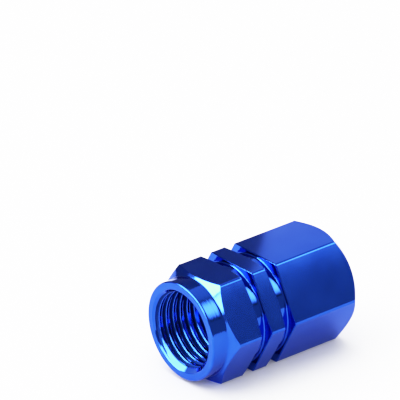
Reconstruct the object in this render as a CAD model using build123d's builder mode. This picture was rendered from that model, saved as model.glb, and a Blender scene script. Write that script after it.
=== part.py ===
from build123d import *
from math import radians, sqrt, tan
import os

# Hexagonal dust cap for a tyre valve, turned from aluminium hexagon bar and lying on one of its flats.
# Millimetres. The cap's axis is +Y, from the centre of the mouth to the crown, and +Z is up.

os.makedirs("parts", exist_ok=True)

# Hexagon bar
across_flats = 9.73
corner_rounding = 0.33

# Round collar at the mouth
collar_diameter = 9.2
collar_length = 1.58
rim_rounding = 0.2
shoulder_rounding = 0.25

# Lengths along the axis, taken at the hexagon's corners
nut_length = 2.345
band_length = 1.44
head_length = 7.615

# Cone between the collar and the nut, by its angle to the mouth's plane
nut_cone_angle = 34.5

# The grooves on both sides of the band, with a leaning flank towards the mouth and a steep wall
# towards the crown
groove_width = 1.24
groove_diameter = 9.14
groove_flank_angle = 18
groove_wall_angle = 3
groove_root_rounding = 0.15

# Crown
crown_diameter = 9.54
crown_cone_angle = 44
crown_rounding = 0.15

# Blind hole for the valve stem, drilled to the thread's inner diameter
bore_diameter = 6.89
bore_depth = 10.0
drill_point_angle = 118
countersink_diameter = 8.1
countersink_angle = 116

# Sizes that follow from those above
corner_reach = across_flats / sqrt(3)
collar_reach = collar_diameter / 2
groove_reach = groove_diameter / 2
crown_reach = crown_diameter / 2
bore_reach = bore_diameter / 2
countersink_reach = countersink_diameter / 2

flare_reach = collar_reach + shoulder_rounding
flare_height = collar_length + shoulder_rounding * tan(radians(nut_cone_angle))

nut_start = collar_length + (corner_reach - collar_reach) * tan(radians(nut_cone_angle))
lower_groove_start = nut_start + nut_length
band_start = lower_groove_start + groove_width
upper_groove_start = band_start + band_length
head_start = upper_groove_start + groove_width
crown_height = head_start + head_length
crown_cone_start = crown_height - (corner_reach - crown_reach) * tan(radians(crown_cone_angle))

flank_rise = (corner_reach - groove_reach) * tan(radians(groove_flank_angle))
wall_rise = (corner_reach - groove_reach) * tan(radians(groove_wall_angle))
countersink_depth = (countersink_reach - bore_reach) / tan(radians(countersink_angle / 2))
drill_point_depth = bore_depth + bore_reach / tan(radians(drill_point_angle / 2))

mouth_plane = Plane(origin=(0, 0, 0), x_dir=(1, 0, 0), z_dir=(0, 1, 0))

with BuildPart() as valve_cap:
    # Length of bar with a flat underneath
    with BuildSketch(mouth_plane.offset(collar_length)) as bar:
        RegularPolygon(across_flats / 2, 6, major_radius=False)
        fillet(bar.vertices(), corner_rounding)
    extrude(amount=crown_height - collar_length)

    # Turning the nut's cone and the crown's cone
    with BuildSketch(Plane.XY) as outline:
        with BuildLine():
            Polyline(
                (0, collar_length),
                (collar_reach, collar_length),
                (corner_reach, nut_start),
                (corner_reach, crown_cone_start),
                (crown_reach, crown_height),
                (0, crown_height),
                close=True,
            )
        make_face()
        crown_edge = outline.vertices().sort_by_distance((crown_reach, crown_height))[0]
        fillet(crown_edge, crown_rounding)
    revolve(axis=Axis.Y, mode=Mode.INTERSECT)

    # Collar with a rounded rim, flowing into the nut's cone
    with BuildSketch(Plane.XY) as collar:
        with BuildLine():
            Polyline(
                (0, 0),
                (collar_reach, 0),
                (collar_reach, collar_length),
                (flare_reach, flare_height),
                (0, flare_height),
                close=True,
            )
        make_face()
        rim = collar.vertices().sort_by_distance((collar_reach, 0))[0]
        fillet(rim, rim_rounding)
        shoulder = collar.vertices().sort_by_distance((collar_reach, collar_length))[0]
        fillet(shoulder, shoulder_rounding)
    revolve(axis=Axis.Y)

    # Turning the two grooves
    for groove_start in (lower_groove_start, upper_groove_start):
        with BuildSketch(Plane.XY) as groove:
            with BuildLine():
                Polyline(
                    (corner_reach, groove_start),
                    (groove_reach, groove_start + flank_rise),
                    (groove_reach, groove_start + groove_width - wall_rise),
                    (corner_reach, groove_start + groove_width),
                    close=True,
                )
            make_face()
            fillet(groove.vertices().sort_by(Axis.X)[:2], groove_root_rounding)
        revolve(axis=Axis.Y, mode=Mode.SUBTRACT)

    # Drilling and countersinking the blind hole
    with BuildSketch(Plane.XY):
        with BuildLine():
            Polyline(
                (0, 0),
                (countersink_reach, 0),
                (bore_reach, countersink_depth),
                (bore_reach, bore_depth),
                (0, drill_point_depth),
                close=True,
            )
        make_face()
    revolve(axis=Axis.Y, mode=Mode.SUBTRACT)

valve_cap.part.label = "valve_cap"
export_step(valve_cap.part, "parts/valve_cap.step")
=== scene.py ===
import math

import bmesh
import bpy
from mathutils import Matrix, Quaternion, Vector


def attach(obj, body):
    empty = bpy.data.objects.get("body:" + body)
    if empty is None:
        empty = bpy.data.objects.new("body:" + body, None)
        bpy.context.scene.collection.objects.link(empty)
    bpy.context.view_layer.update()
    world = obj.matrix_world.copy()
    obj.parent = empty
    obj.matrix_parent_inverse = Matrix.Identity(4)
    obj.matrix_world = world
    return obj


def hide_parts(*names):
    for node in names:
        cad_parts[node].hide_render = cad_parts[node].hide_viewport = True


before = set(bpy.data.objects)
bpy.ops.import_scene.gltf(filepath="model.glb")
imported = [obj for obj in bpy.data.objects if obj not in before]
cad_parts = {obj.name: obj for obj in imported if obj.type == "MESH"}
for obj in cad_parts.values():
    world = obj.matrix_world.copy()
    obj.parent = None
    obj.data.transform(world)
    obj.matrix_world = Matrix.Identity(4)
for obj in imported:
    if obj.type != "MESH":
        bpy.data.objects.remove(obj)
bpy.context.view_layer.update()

# Tyre valve cap: a blue dyed aluminium hexagon cap with two turned grooves, lying on one of its flats.
# It is shaped in millimetres and brought to metres at the end. Angles are in degrees.
MM = 0.001

# Hexagon bar
ACROSS_FLATS = 9.73
CORNER_REACH = ACROSS_FLATS / math.sqrt(3)
CORNER_ROUNDING = 0.33
FLAT_EDGE_BREAK = 0.03
WALL_EDGE_ROUNDING = 0.1
EDGE_STEPS = 4

# Turned outline, with the slopes of its cones and of the grooves' sides
COLLAR_REACH = 4.6
COLLAR_LENGTH = 1.58
RIM_ROUNDING = 0.2
SHOULDER_ROUNDING = 0.25
NUT_CONE = math.tan(math.radians(34.5))
NUT_START = COLLAR_LENGTH + (CORNER_REACH - COLLAR_REACH) * NUT_CONE
NUT_LENGTH = 2.345
GROOVE_WIDTH = 1.24
GROOVE_REACH = 4.57
GROOVE_FLANK = math.tan(math.radians(18))
GROOVE_WALL = math.tan(math.radians(3))
GROOVE_FILLET = 0.15
BAND_LENGTH = 1.44
HEAD_LENGTH = 7.615
CROWN_REACH = 4.77
CROWN_CONE = math.tan(math.radians(44))
CROWN_ROUNDING = 0.15
CROWN_STEPS = 4
BAR_REACH = 5.9
ROUNDING_STEPS = 5
COLUMNS = 192

# Hole for the valve stem. The break of the rim's inner edge runs on outside the mouth.
BORE_REACH = 3.445
BORE_DEPTH = 10.0
BORE_END_ROUNDING = 0.15
BORE_END_STEPS = 3
DRILL_POINT = math.tan(math.radians(118 / 2))
DRILL_OUTSIDE = 0.5
COUNTERSINK_REACH = 3.89
COUNTERSINK_ANGLE = 90
COUNTERSINK = math.tan(math.radians(90 - COUNTERSINK_ANGLE / 2))
RIM_INNER_BREAK = 0.05
RIM_BREAK_TIMES = 6

# Thread of 32 turns to the inch. Its heights are from the first lip of a crest.
PITCH = 0.794
THREAD_FROM = -1.517
THREAD_TURNS = 12
THREAD_COLUMNS = 144
THREAD_FLANK = math.tan(math.radians(30))
THREAD_REACH = 3.79
THREAD_ROUNDING = 0.04
THREAD_STEPS = 2
THREAD_CREST = 3.48
THREAD_CREASE = 3.51
CREASE_HEIGHT = 0.26
FIRST_LIP_ROUNDING = 0.045
FIRST_LIP_STEPS = 4
LIP_CHAMFER_REACH = 0.05
LIP_CHAMFER_LENGTH = 0.036
SECOND_LIP_REACH = THREAD_CREST + 0.01
SECOND_LIP_START = 0.285
SECOND_LIP_END = 0.36
SECOND_LIP_START_ROUNDING = 0.01
SECOND_LIP_END_ROUNDING = 0.03

# Tolerances for joining points, for cutting, for what the cuts leave and for smooth shading
SAME_POINT = 0.0005
CUT_TOLERANCE = 0.0001
SLIVER = 0.001
SMOOTH_BELOW = 32

# How faces are told apart: flats by their area, tilt and turn, groove walls by their lean, and the thread's
# grooves by their reach and their distance from the countersink's cone
FLAT_AREA = 0.5
FLAT_TILT = 0.001
FLAT_TURN = 0.05
WALL_LEAN = 0.95
THREAD_GROOVE_FROM = THREAD_CREST + 0.035
THREAD_GROOVE_TO = THREAD_REACH + 0.01
NEAR_COUNTERSINK = 0.012

# Studio, in metres
CAP_MIDDLE = Vector((0, 0.008, 0))
SOFTBOX_DISTANCE = 0.2
FLOOR_LIGHT_DISTANCE = 0.5
CARD_PLACE = (-0.012, 0.0071, 0.017)
CARD_HEIGHT = 0.026
CARD_LENGTH = 0.0242
FLOOR_SIZE = 4

# Film: how bright the tone curve goes, its gain and contrast, and the brightnesses it is drawn through
FILM_BRIGHTEST = 6
FILM_GAIN = 1.3
FILM_CONTRAST = 1.1
FILM_POINTS = (0.1, 0.25, 0.5, 0.8, 1.2, 1.8, 2.6, 4.0)

# Camera, in metres, with its lens in millimetres
CAMERA_PLACE = Vector((0.381373, -0.306171, 0.252934))
CAMERA_LOOK = Vector((-0.005071, 0.006551, 0.008862))
CAMERA_ROLL = -0.91
CAMERA_LENS = 566.1
CAMERA_SENSOR = 36


# Shape of the cap

def deselect():
    """Clears the selection."""
    bpy.ops.object.select_all(action="DESELECT")


def take(piece):
    """Makes one piece the selected and active one."""
    deselect()
    piece.select_set(True)
    bpy.context.view_layer.objects.active = piece


def rounded(corners):
    """Outline points from corners of (reach, height, rounding, steps)."""
    points = []
    for i, (reach, height, rounding, steps) in enumerate(corners):
        here = Vector((reach, height))
        if not rounding:
            points.append(here)
            continue
        back = (Vector(corners[i - 1][:2]) - here).normalized()
        on = (Vector(corners[i + 1][:2]) - here).normalized()
        half = back.angle(on) / 2
        centre = here + (back + on).normalized() * (rounding / math.sin(half))
        start = here + back * (rounding / math.tan(half)) - centre
        end = here + on * (rounding / math.tan(half)) - centre
        turn = math.atan2(start.x * end.y - start.y * end.x, start.dot(end))
        for k in range(steps + 1):
            a = turn * k / steps
            points.append(centre + Vector((
                start.x * math.cos(a) - start.y * math.sin(a),
                start.x * math.sin(a) + start.y * math.cos(a))))
    return points


def drawn(name, points):
    """A line in the plane through the axis, drawn point by point from its first end."""
    deselect()
    bpy.ops.mesh.primitive_plane_add(size=1, location=(points[0].x, points[0].y, 0))
    line = bpy.context.object
    line.name = name
    bpy.ops.object.mode_set(mode="EDIT")
    bpy.ops.mesh.select_mode(type="VERT")
    bpy.ops.mesh.select_all(action="SELECT")
    bpy.ops.mesh.merge(type="CENTER")
    for before, after in zip(points, points[1:]):
        step = after - before
        bpy.ops.mesh.extrude_vertices_move(TRANSFORM_OT_translate={"value": (step.x, step.y, 0)})
    bpy.ops.object.mode_set(mode="OBJECT")
    bpy.ops.object.transform_apply(location=True, rotation=True, scale=True)
    return line


def turned(name, points):
    """A turned solid: the outline from axis to axis, spun about the cap's axis."""
    solid = drawn(name, points)
    bpy.ops.object.mode_set(mode="EDIT")
    bpy.ops.mesh.select_all(action="SELECT")
    bpy.ops.mesh.spin(steps=COLUMNS, angle=2 * math.pi, center=(0, 0, 0), axis=(0, 1, 0))
    bpy.ops.mesh.select_all(action="SELECT")
    bpy.ops.mesh.remove_doubles(threshold=SAME_POINT)
    bpy.ops.mesh.normals_make_consistent(inside=False)
    bpy.ops.object.mode_set(mode="OBJECT")
    return solid


def blank_outline():
    """Rim, collar, nut, groove, band, groove, head and crown, as turned from a round bar."""
    low = NUT_START + NUT_LENGTH
    band = low + GROOVE_WIDTH
    high = band + BAND_LENGTH
    head = high + GROOVE_WIDTH
    crown = head + HEAD_LENGTH
    over = BAR_REACH - CORNER_REACH
    deep = CORNER_REACH - GROOVE_REACH
    corners = [
        (0, 0, 0, 0),
        (COLLAR_REACH, 0, RIM_ROUNDING, ROUNDING_STEPS),
        (COLLAR_REACH, COLLAR_LENGTH, SHOULDER_ROUNDING, ROUNDING_STEPS),
        (BAR_REACH, NUT_START + over * NUT_CONE, 0, 0),
    ]
    for start in (low, high):
        end = start + GROOVE_WIDTH
        corners += [
            (BAR_REACH, start - over * GROOVE_FLANK, 0, 0),
            (GROOVE_REACH, start + deep * GROOVE_FLANK, GROOVE_FILLET, ROUNDING_STEPS),
            (GROOVE_REACH, end - deep * GROOVE_WALL, GROOVE_FILLET, ROUNDING_STEPS),
            (BAR_REACH, end + over * GROOVE_WALL, 0, 0),
        ]
    corners += [
        (BAR_REACH, crown - (BAR_REACH - CROWN_REACH) * CROWN_CONE, 0, 0),
        (CROWN_REACH, crown, CROWN_ROUNDING, CROWN_STEPS),
        (0, crown, 0, 0),
    ]
    return rounded(corners)


def cut_flats(cap):
    """Cuts the six flats, two of them level, so that the turned cones and grooves end in curved edges."""
    take(cap)
    bpy.ops.object.mode_set(mode="EDIT")
    for k in range(6):
        a = math.radians(30 + 60 * k)
        out = Vector((math.cos(a), 0, math.sin(a)))
        bpy.ops.mesh.select_all(action="SELECT")
        bpy.ops.mesh.bisect(
            plane_co=out * ACROSS_FLATS / 2,
            plane_no=out,
            use_fill=True,
            clear_outer=True,
            threshold=CUT_TOLERANCE,
        )
    bpy.ops.object.mode_set(mode="OBJECT")


def is_flat(face, least):
    """True for a face of more than the least area that lies on one of the six flats."""
    around = math.degrees(math.atan2(face.normal.z, face.normal.x))
    off = abs(around % 60 - 30)
    return abs(face.normal.y) < FLAT_TILT and off < FLAT_TURN and face.calc_area() > least


def edge_kind(edge):
    """Tells the bar's long corners, the edges of steep groove walls and the other edges of flats apart."""
    flats = sum(is_flat(face, FLAT_AREA) for face in edge.link_faces)
    if flats != 1:
        return "corner" if flats else None
    steep = any(face.normal.y < -WALL_LEAN for face in edge.link_faces)
    return "wall" if steep else "thin"


def break_edges(cap):
    """Rounds the bar's long corners and the groove walls' edges, and breaks the other edges of the flats."""
    take(cap)
    bpy.ops.object.mode_set(mode="EDIT")
    bpy.ops.mesh.select_mode(type="EDGE")
    full = CORNER_ROUNDING * math.tan(math.radians(30))
    for kind, width in (("corner", full), ("wall", WALL_EDGE_ROUNDING), ("thin", FLAT_EDGE_BREAK)):
        bpy.ops.mesh.select_all(action="DESELECT")
        shape = bmesh.from_edit_mesh(cap.data)
        for edge in shape.edges:
            if edge_kind(edge) == kind:
                edge.select_set(True)
        bmesh.update_edit_mesh(cap.data)
        bpy.ops.transform.edge_bevelweight(value=width / full)
    bpy.ops.object.mode_set(mode="OBJECT")
    broken = cap.modifiers.new("broken_edges", "BEVEL")
    broken.limit_method = "WEIGHT"
    broken.offset_type = "OFFSET"
    broken.width = full
    broken.segments = EDGE_STEPS
    broken.profile = 0.5
    broken.use_clamp_overlap = False
    bpy.ops.object.modifier_apply(modifier=broken.name)


def drill():
    """Drill with its point and a countersink, from outside the mouth."""
    half = RIM_INNER_BREAK * COUNTERSINK / 2
    widest = COUNTERSINK_REACH + RIM_BREAK_TIMES * RIM_INNER_BREAK
    corners = [
        (0, -DRILL_OUTSIDE, 0, 0),
        (widest, -DRILL_OUTSIDE, 0, 0),
        (widest, (1 - RIM_BREAK_TIMES) * half, 0, 0),
        (COUNTERSINK_REACH, half, 0, 0),
        (COUNTERSINK_REACH - RIM_INNER_BREAK, half + RIM_INNER_BREAK * COUNTERSINK, 0, 0),
        (BORE_REACH, half + (COUNTERSINK_REACH - BORE_REACH) * COUNTERSINK, 0, 0),
        (BORE_REACH, BORE_DEPTH, BORE_END_ROUNDING, BORE_END_STEPS),
        (0, BORE_DEPTH + BORE_REACH / DRILL_POINT, 0, 0),
    ]
    return turned("drill", rounded(corners))


def tap_outline():
    """One turn of the tap. It forms the thread, so each crest is two lips with a crease between them."""
    start = THREAD_FROM
    end = start + PITCH
    flank = (THREAD_REACH - THREAD_CREST) * THREAD_FLANK
    halfway = (THREAD_CREST + THREAD_CREASE) / 2
    return rounded([
        (halfway, start + CREASE_HEIGHT / 2, 0, 0),
        (THREAD_CREASE, start + CREASE_HEIGHT, 0, 0),
        (SECOND_LIP_REACH, start + SECOND_LIP_START, SECOND_LIP_START_ROUNDING, THREAD_STEPS),
        (SECOND_LIP_REACH, start + SECOND_LIP_END, SECOND_LIP_END_ROUNDING, THREAD_STEPS),
        (THREAD_REACH, start + SECOND_LIP_END + flank, THREAD_ROUNDING, THREAD_STEPS),
        (THREAD_REACH, end - flank, THREAD_ROUNDING, THREAD_STEPS),
        (THREAD_CREST + LIP_CHAMFER_REACH, end - LIP_CHAMFER_LENGTH, 0, 0),
        (THREAD_CREST, end, FIRST_LIP_ROUNDING, FIRST_LIP_STEPS),
        (halfway, end + CREASE_HEIGHT / 2, 0, 0),
    ])


def wind(line):
    """Winds a line about the cap's axis into a right-hand thread."""
    take(line)
    wound = line.modifiers.new("wound", "SCREW")
    wound.axis = "Y"
    wound.angle = 2 * math.pi
    wound.screw_offset = PITCH
    wound.iterations = THREAD_TURNS
    wound.steps = THREAD_COLUMNS
    wound.render_steps = THREAD_COLUMNS
    wound.use_merge_vertices = True
    wound.merge_threshold = SLIVER
    bpy.ops.object.modifier_apply(modifier=wound.name)


def close_ends(tool):
    """Fills the two open ends of a wound tool, and turns its faces outwards."""
    bpy.ops.object.mode_set(mode="EDIT")
    bpy.ops.mesh.select_all(action="SELECT")
    bpy.ops.mesh.remove_doubles(threshold=SAME_POINT)
    bpy.ops.mesh.select_mode(type="EDGE")
    for near_mouth in (True, False):
        bpy.ops.mesh.select_all(action="DESELECT")
        shape = bmesh.from_edit_mesh(tool.data)
        for edge in shape.edges:
            if edge.is_boundary and (edge.verts[0].co.y < BORE_DEPTH / 2) == near_mouth:
                edge.select_set(True)
        bmesh.update_edit_mesh(tool.data)
        bpy.ops.mesh.fill(use_beauty=True)
    bpy.ops.mesh.select_all(action="SELECT")
    bpy.ops.mesh.normals_make_consistent(inside=False)
    if bmesh.from_edit_mesh(tool.data).calc_volume(signed=True) < 0:
        bpy.ops.mesh.flip_normals()
    bpy.ops.object.mode_set(mode="OBJECT")


def tap():
    """Tap with a right-hand thread, from outside the mouth."""
    tool = drawn("tap", tap_outline())
    wind(tool)
    close_ends(tool)
    return tool


def cut_away(cap, tool):
    """Takes a tool's shape out of the cap, and puts the tool away."""
    take(cap)
    cut = cap.modifiers.new(tool.name, "BOOLEAN")
    cut.operation = "DIFFERENCE"
    cut.solver = "EXACT"
    cut.object = tool
    bpy.ops.object.modifier_apply(modifier=cut.name)
    bpy.data.objects.remove(tool)


def finish_surface(cap):
    """Clears slivers away, smooths the turned faces, keeps the flats true and brings the cap to metres."""
    take(cap)
    bpy.ops.object.mode_set(mode="EDIT")
    bpy.ops.mesh.select_all(action="SELECT")
    bpy.ops.mesh.remove_doubles(threshold=SLIVER)
    bpy.ops.mesh.dissolve_degenerate(threshold=SLIVER)
    bpy.ops.object.mode_set(mode="OBJECT")
    bpy.ops.object.shade_smooth_by_angle(angle=math.radians(SMOOTH_BELOW))
    shading = cap.modifiers.new("true_flats", "WEIGHTED_NORMAL")
    shading.mode = "FACE_AREA_WITH_ANGLE"
    shading.weight = 100
    shading.keep_sharp = True
    bpy.ops.object.modifier_apply(modifier=shading.name)
    cap.scale = (MM, MM, MM)
    bpy.ops.object.transform_apply(location=True, rotation=True, scale=True)


# Finish of the cap

def blue_dye(name, rough_low, rough_high, brightness=1):
    """Clear blue dye over bright aluminium, a little cloudy.

    Gives the material, its node tree, its shader and its coordinates.
    """
    finish = bpy.data.materials.new(name)
    finish.use_nodes = True
    tree = finish.node_tree
    shader = tree.nodes["Principled BSDF"]
    shader.inputs["Metallic"].default_value = 1
    shader.inputs["Specular Tint"].default_value = (0.65, 0.7, 1, 1)
    place = tree.nodes.new("ShaderNodeTexCoord")
    cloud = tree.nodes.new("ShaderNodeTexNoise")
    cloud.inputs["Scale"].default_value = 420
    cloud.inputs["Detail"].default_value = 4
    dye = tree.nodes.new("ShaderNodeValToRGB")
    dye.color_ramp.elements[0].position = 0.3
    # A brightness under 1 darkens the dye. The thread's grooves use it for painted shade.
    dye.color_ramp.elements[0].color = (0.009 * brightness, 0.044 * brightness, 0.39 * brightness, 1)
    dye.color_ramp.elements[1].position = 0.7
    dye.color_ramp.elements[1].color = (0.011 * brightness, 0.051 * brightness, 0.41 * brightness, 1)
    rough = tree.nodes.new("ShaderNodeMapRange")
    rough.inputs["From Min"].default_value = 0.3
    rough.inputs["From Max"].default_value = 0.7
    rough.inputs["To Min"].default_value = rough_low
    rough.inputs["To Max"].default_value = rough_high
    tree.links.new(place.outputs["Object"], cloud.inputs["Vector"])
    tree.links.new(cloud.outputs["Fac"], dye.inputs["Fac"])
    tree.links.new(dye.outputs["Color"], shader.inputs["Base Color"])
    tree.links.new(cloud.outputs["Fac"], rough.inputs["Value"])
    tree.links.new(rough.outputs["Result"], shader.inputs["Roughness"])
    return finish, tree, shader, place


def turned_finish():
    """Turned faces: bright, with fine rings left by the tool."""
    finish, tree, shader, place = blue_dye("blue_aluminium_turned", rough_low=0.05, rough_high=0.07)
    split = tree.nodes.new("ShaderNodeSeparateXYZ")
    across = tree.nodes.new("ShaderNodeCombineXYZ")
    reach = tree.nodes.new("ShaderNodeVectorMath")
    reach.operation = "LENGTH"
    along = tree.nodes.new("ShaderNodeMath")
    along.operation = "ADD"
    rings = tree.nodes.new("ShaderNodeTexNoise")
    rings.noise_dimensions = "1D"
    rings.inputs["Scale"].default_value = 6000
    rings.inputs["Detail"].default_value = 2
    marks = tree.nodes.new("ShaderNodeBump")
    marks.inputs["Strength"].default_value = 1
    marks.inputs["Distance"].default_value = 0.000005
    tree.links.new(place.outputs["Object"], split.inputs["Vector"])
    tree.links.new(split.outputs["X"], across.inputs["X"])
    tree.links.new(split.outputs["Z"], across.inputs["Z"])
    tree.links.new(across.outputs["Vector"], reach.inputs[0])
    tree.links.new(reach.outputs["Value"], along.inputs[0])
    tree.links.new(split.outputs["Y"], along.inputs[1])
    tree.links.new(along.outputs["Value"], rings.inputs["W"])
    tree.links.new(rings.outputs["Fac"], marks.inputs["Height"])
    tree.links.new(marks.outputs["Normal"], shader.inputs["Normal"])
    return finish


def drawn_finish():
    """The bar's flats: satin, crowned a little by polishing, with faint drawing lines along the bar."""
    finish, tree, shader, place = blue_dye("blue_aluminium_flats", rough_low=0.18, rough_high=0.22)
    stretch = tree.nodes.new("ShaderNodeMapping")
    stretch.inputs["Scale"].default_value = (1, 0.03, 1)
    lines = tree.nodes.new("ShaderNodeTexNoise")
    lines.inputs["Scale"].default_value = 5000
    lines.inputs["Detail"].default_value = 2
    marks = tree.nodes.new("ShaderNodeBump")
    marks.inputs["Strength"].default_value = 1
    marks.inputs["Distance"].default_value = 0.0000008
    flatten = tree.nodes.new("ShaderNodeVectorMath")
    flatten.operation = "MULTIPLY"
    flatten.inputs[1].default_value = (1, 0, 1)
    reach = tree.nodes.new("ShaderNodeVectorMath")
    reach.operation = "DOT_PRODUCT"
    crowned = tree.nodes.new("ShaderNodeBump")
    crowned.invert = True
    crowned.inputs["Strength"].default_value = 1
    crowned.inputs["Distance"].default_value = 10
    tree.links.new(place.outputs["Object"], stretch.inputs["Vector"])
    tree.links.new(stretch.outputs["Vector"], lines.inputs["Vector"])
    tree.links.new(lines.outputs["Fac"], marks.inputs["Height"])
    tree.links.new(place.outputs["Object"], flatten.inputs[0])
    tree.links.new(flatten.outputs["Vector"], reach.inputs[0])
    tree.links.new(flatten.outputs["Vector"], reach.inputs[1])
    tree.links.new(reach.outputs["Value"], crowned.inputs["Height"])
    tree.links.new(crowned.outputs["Normal"], marks.inputs["Normal"])
    tree.links.new(marks.outputs["Normal"], shader.inputs["Normal"])
    return finish


def dull_groove_painted_shade():
    """Thread grooves: dull, with a fine grain, and their dye darkened to a fifth as painted shade."""
    # The dye at a fifth of its brightness is painted shade in the thread's grooves.
    finish, tree, shader, place = blue_dye(
        "blue_aluminium_grooves_painted_shade", rough_low=0.42, rough_high=0.5, brightness=0.2)
    shader.inputs["Metallic"].default_value = 0.5
    shader.inputs["Specular IOR Level"].default_value = 0
    grain = tree.nodes.new("ShaderNodeTexNoise")
    grain.inputs["Scale"].default_value = 9000
    marks = tree.nodes.new("ShaderNodeBump")
    marks.inputs["Strength"].default_value = 0.5
    marks.inputs["Distance"].default_value = 0.000003
    tree.links.new(place.outputs["Object"], grain.inputs["Vector"])
    tree.links.new(grain.outputs["Fac"], marks.inputs["Height"])
    tree.links.new(marks.outputs["Normal"], shader.inputs["Normal"])
    return finish


def is_thread_groove(face):
    """True for a face of the thread between its crests, and not for the countersink."""
    middle = face.calc_center_median() / MM
    reach = math.hypot(middle.x, middle.z)
    from_cone = abs(reach + middle.y / COUNTERSINK - COUNTERSINK_REACH - RIM_INNER_BREAK / 2)
    threaded = THREAD_GROOVE_FROM < reach < THREAD_GROOVE_TO and 0 < middle.y < BORE_DEPTH
    return threaded and from_cone >= NEAR_COUNTERSINK


def is_finished_flat(face):
    """True for a face of one of the six flats, once the cap is in metres."""
    return is_flat(face, FLAT_AREA * MM * MM)


def put_finish(cap):
    """Turned finish all over, the bar's own finish on the six flats, and dull grooves in the thread,
    darkened with painted shade.
    """
    for finish in (turned_finish(), drawn_finish(), dull_groove_painted_shade()):
        cap.data.materials.append(finish)
    take(cap)
    bpy.ops.object.mode_set(mode="EDIT")
    bpy.ops.mesh.select_mode(type="FACE")
    for slot, fits in ((1, is_finished_flat), (2, is_thread_groove)):
        cap.active_material_index = slot
        bpy.ops.mesh.select_all(action="DESELECT")
        shape = bmesh.from_edit_mesh(cap.data)
        for face in shape.faces:
            if fits(face):
                face.select_set(True)
        bmesh.update_edit_mesh(cap.data)
        bpy.ops.object.material_slot_assign()
    bpy.ops.object.mode_set(mode="OBJECT")


# Studio

def towards(azimuth, elevation):
    """Direction from the cap, with azimuth 0 in front of the mouth and 90 on the near side."""
    a = math.radians(azimuth)
    e = math.radians(elevation)
    return Vector((math.sin(a) * math.cos(e), -math.cos(a) * math.cos(e), math.sin(e)))


def face_cap(piece, azimuth, elevation, distance):
    """Stands a light at a distance from the cap, and turns it to the cap."""
    back = towards(azimuth, elevation)
    piece.location = CAP_MIDDLE + back * distance
    piece.rotation_mode = "QUATERNION"
    piece.rotation_quaternion = back.to_track_quat("Z", "Y")


def show_in_gloss_only(piece):
    """Keeps a piece of the studio out of sight, apart from its reflection."""
    piece.visible_camera = False
    piece.visible_diffuse = False
    piece.visible_shadow = False


def softbox_cloth(name, glow, fade):
    """White cloth lit from behind, with its glow fading towards its edges."""
    cloth = bpy.data.materials.new(name)
    cloth.use_nodes = True
    tree = cloth.node_tree
    tree.nodes.clear()
    out = tree.nodes.new("ShaderNodeOutputMaterial")
    light = tree.nodes.new("ShaderNodeEmission")
    place = tree.nodes.new("ShaderNodeTexCoord")
    split = tree.nodes.new("ShaderNodeSeparateXYZ")
    both = tree.nodes.new("ShaderNodeMath")
    both.operation = "MULTIPLY"
    strength = tree.nodes.new("ShaderNodeMath")
    strength.operation = "MULTIPLY"
    strength.inputs[1].default_value = glow
    tree.links.new(place.outputs["UV"], split.inputs["Vector"])
    for k, axis in enumerate("XY"):
        edge = tree.nodes.new("ShaderNodeMath")
        edge.operation = "PINGPONG"
        edge.inputs[1].default_value = 0.5
        soft = tree.nodes.new("ShaderNodeMapRange")
        soft.interpolation_type = "SMOOTHSTEP"
        soft.inputs["From Max"].default_value = fade
        tree.links.new(split.outputs[axis], edge.inputs[0])
        tree.links.new(edge.outputs["Value"], soft.inputs["Value"])
        tree.links.new(soft.outputs["Result"], both.inputs[k])
    tree.links.new(both.outputs["Value"], strength.inputs[0])
    tree.links.new(strength.outputs["Value"], light.inputs["Strength"])
    tree.links.new(light.outputs["Emission"], out.inputs["Surface"])
    return cloth


def softbox(name, azimuth, elevation, width, height, glow, fade):
    """A softbox that shows in the cap's gloss."""
    deselect()
    bpy.ops.mesh.primitive_plane_add(size=1)
    box = bpy.context.object
    box.name = name
    box.scale = (width, height, 1)
    face_cap(box, azimuth, elevation, SOFTBOX_DISTANCE)
    box.data.materials.append(softbox_cloth(name + "_cloth", glow, fade))
    show_in_gloss_only(box)


def floor_light(name, azimuth, elevation, size, glow):
    """A wide light for the floor, which doesn't show in the gloss."""
    deselect()
    bpy.ops.object.light_add(type="AREA")
    wide = bpy.context.object
    wide.name = name
    face_cap(wide, azimuth, elevation, FLOOR_LIGHT_DISTANCE)
    wide.data.size = size
    wide.data.energy = glow * math.pi * size * size
    wide.visible_camera = False
    wide.visible_glossy = False


def plain(name, colour, roughness):
    """A plain material for the studio."""
    finish = bpy.data.materials.new(name)
    finish.use_nodes = True
    shader = finish.node_tree.nodes["Principled BSDF"]
    shader.inputs["Base Color"].default_value = colour
    shader.inputs["Roughness"].default_value = roughness
    return finish


def flag():
    """A dark card beside the cap, to darken the tops of the nut and band and the groove walls' edges."""
    deselect()
    bpy.ops.mesh.primitive_plane_add(size=1, location=CARD_PLACE, rotation=(0, math.pi / 2, 0))
    card = bpy.context.object
    card.name = "flag"
    card.scale = (CARD_HEIGHT, CARD_LENGTH, 1)
    card.data.materials.append(plain("black_card", colour=(0.12, 0.12, 0.13, 1), roughness=0.9))
    show_in_gloss_only(card)


def pale_floor():
    """The floor that the cap lies on."""
    deselect()
    bpy.ops.mesh.primitive_plane_add(size=FLOOR_SIZE, location=(0, 0, -ACROSS_FLATS / 2 * MM))
    floor = bpy.context.object
    floor.name = "floor"
    floor.data.materials.append(plain("pale_floor", colour=(0.9, 0.9, 0.91, 1), roughness=0.6))


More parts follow.
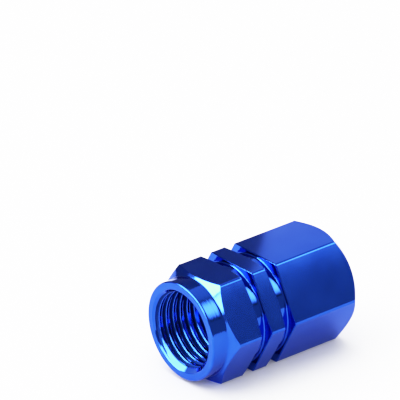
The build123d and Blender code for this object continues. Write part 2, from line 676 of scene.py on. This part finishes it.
def room():
    """White for the eye, and for the gloss a room that is pale on the left and dim on the right."""
    world = bpy.data.worlds.new("studio")
    bpy.context.scene.world = world
    world.use_nodes = True
    tree = world.node_tree
    tree.nodes.clear()
    out = tree.nodes.new("ShaderNodeOutputWorld")
    walls = tree.nodes.new("ShaderNodeBackground")
    white = tree.nodes.new("ShaderNodeBackground")
    for_eye = tree.nodes.new("ShaderNodeMixShader")
    path = tree.nodes.new("ShaderNodeLightPath")
    place = tree.nodes.new("ShaderNodeTexCoord")
    split = tree.nodes.new("ShaderNodeSeparateXYZ")
    side = tree.nodes.new("ShaderNodeMapRange")
    shade = tree.nodes.new("ShaderNodeValToRGB")
    white.inputs["Color"].default_value = (1, 1, 1, 1)
    white.inputs["Strength"].default_value = 3.2
    side.inputs["From Min"].default_value = -1
    ramp = shade.color_ramp
    ramp.elements[0].position = 0.2
    ramp.elements[0].color = (2.2, 2.2, 2.2, 1)
    ramp.elements[1].position = 0.8
    ramp.elements[1].color = (0.52, 0.52, 0.52, 1)
    for position, grey in ((0.5, 1.5), (0.66, 0.7)):
        step = ramp.elements.new(position)
        step.color = (grey, grey, grey, 1)
    tree.links.new(place.outputs["Generated"], split.inputs["Vector"])
    tree.links.new(split.outputs["X"], side.inputs["Value"])
    tree.links.new(side.outputs["Result"], shade.inputs["Fac"])
    tree.links.new(shade.outputs["Color"], walls.inputs["Color"])
    tree.links.new(path.outputs["Is Camera Ray"], for_eye.inputs["Fac"])
    tree.links.new(walls.outputs["Background"], for_eye.inputs[1])
    tree.links.new(white.outputs["Background"], for_eye.inputs[2])
    tree.links.new(for_eye.outputs["Shader"], out.inputs["Surface"])


def film():
    """Plain colours with a soft shoulder, so that the white floor stays just under white."""
    view = bpy.context.scene.view_settings
    view.view_transform = "Standard"
    view.use_curve_mapping = True
    curves = view.curve_mapping
    curves.use_clip = True
    curves.clip_max_x = FILM_BRIGHTEST
    curves.extend = "EXTRAPOLATED"
    tone = curves.curves[3]
    tone.points[-1].location = (FILM_BRIGHTEST, 1)
    for x in FILM_POINTS:
        tone.points.new(x, 1 - math.exp(-FILM_GAIN * x ** FILM_CONTRAST))
    curves.update()


def studio():
    """The room, the film, the lights, the card and the floor."""
    room()
    film()
    softbox("softbox_right", azimuth=147, elevation=41, width=0.14, height=0.122, glow=19, fade=0.3)
    softbox("softbox_left", azimuth=-20, elevation=41, width=0.32, height=0.08, glow=40, fade=0.12)
    softbox("softbox_left_low", azimuth=-20, elevation=26, width=0.2, height=0.045, glow=100, fade=0.15)
    softbox("softbox_left_end", azimuth=2, elevation=17, width=0.075, height=0.085, glow=60, fade=0.25)
    floor_light("overhead", azimuth=-60, elevation=74, size=0.75, glow=4.6)
    floor_light("near_fill", azimuth=100, elevation=32, size=0.6, glow=1.7)
    flag()
    pale_floor()


def camera():
    """A long lens that looks at the cap's mouth and near side from above."""
    lens = bpy.data.cameras.new("camera")
    lens.lens = CAMERA_LENS
    lens.sensor_width = CAMERA_SENSOR
    lens.clip_start = 0.01
    lens.clip_end = 20
    view = bpy.data.objects.new("camera", lens)
    bpy.context.scene.collection.objects.link(view)
    view.location = CAMERA_PLACE
    view.rotation_mode = "QUATERNION"
    aim = (CAMERA_LOOK - CAMERA_PLACE).to_track_quat("-Z", "Y")
    view.rotation_quaternion = aim @ Quaternion((0, 0, 1), math.radians(CAMERA_ROLL))
    bpy.context.scene.camera = view


# Building the cap and the scene

cap = turned("cap_body", blank_outline())
cut_flats(cap)
break_edges(cap)
cut_away(cap, drill())
cut_away(cap, tap())
finish_surface(cap)
put_finish(cap)
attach(cap, "root")
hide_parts("valve_cap")

studio()
camera()
